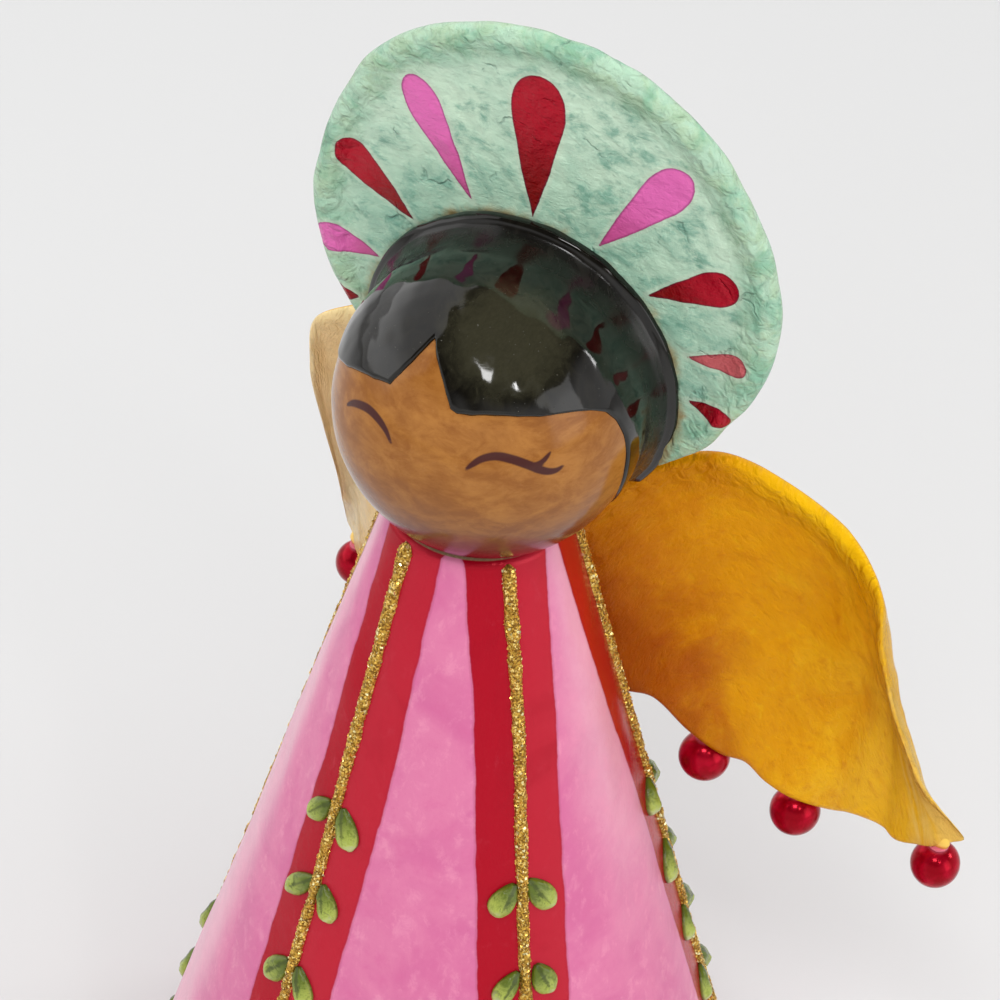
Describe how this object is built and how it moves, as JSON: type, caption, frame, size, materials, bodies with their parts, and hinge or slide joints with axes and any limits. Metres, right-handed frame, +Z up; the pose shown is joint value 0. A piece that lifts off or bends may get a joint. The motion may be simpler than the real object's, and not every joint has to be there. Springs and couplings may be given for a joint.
{
  "type": "angel tree topper",
  "caption": "Standing angel tree topper: hollow conical gown, ball head with hair cap, round halo plate, two cupped scalloped wings with hanging beads, raised leafy vines.",
  "frame": {"origin": "on the axis of the gown, on the flat plane that the hem stands on, which is also the middle of the object's box in X and Y", "axes": "+Z up along the gown's axis; the gown faces -Y; +X is the figure's left; the head is turned 10 degrees towards +X"},
  "size_m": [0.1268, 0.1167, 0.2357],
  "materials": {
    "gown": "clear-lacquered painted paper, pink with crimson stripes",
    "skin": "clear-lacquered coppery brown paint",
    "hair": "high-gloss black lacquer",
    "halo": "clear-lacquered mint paint with painted petals",
    "wing": "clear-lacquered amber paint",
    "bead": "pearl-coated red bead",
    "glitter": "gold glitter glue with green moulded leaves",
    "wire": "plain steel wire",
    "card": "raw greyboard",
    "dowel": "raw softwood"
  },
  "bodies": {
    "root": {"gown_shell": "gown", "hem_hoop": "wire", "neck_disc": "card", "head_dowel": "dowel", "head_ball": "skin", "hair_cap": "hair", "halo_plate": "halo", "wing_left": "wing", "wing_right": "wing", "bead_left_1": "bead", "bead_left_2": "bead", "bead_left_3": "bead", "bead_right_1": "bead", "bead_right_2": "bead", "bead_right_3": "bead", "bead_pin_left_1": "wire", "bead_pin_left_2": "wire", "bead_pin_left_3": "wire", "bead_pin_right_1": "wire", "bead_pin_right_2": "wire", "bead_pin_right_3": "wire", "vine_1": "glitter", "vine_2": "glitter", "vine_3": "glitter", "vine_4": "glitter", "vine_5": "glitter", "vine_6": "glitter"}
  },
  "joints": []
}
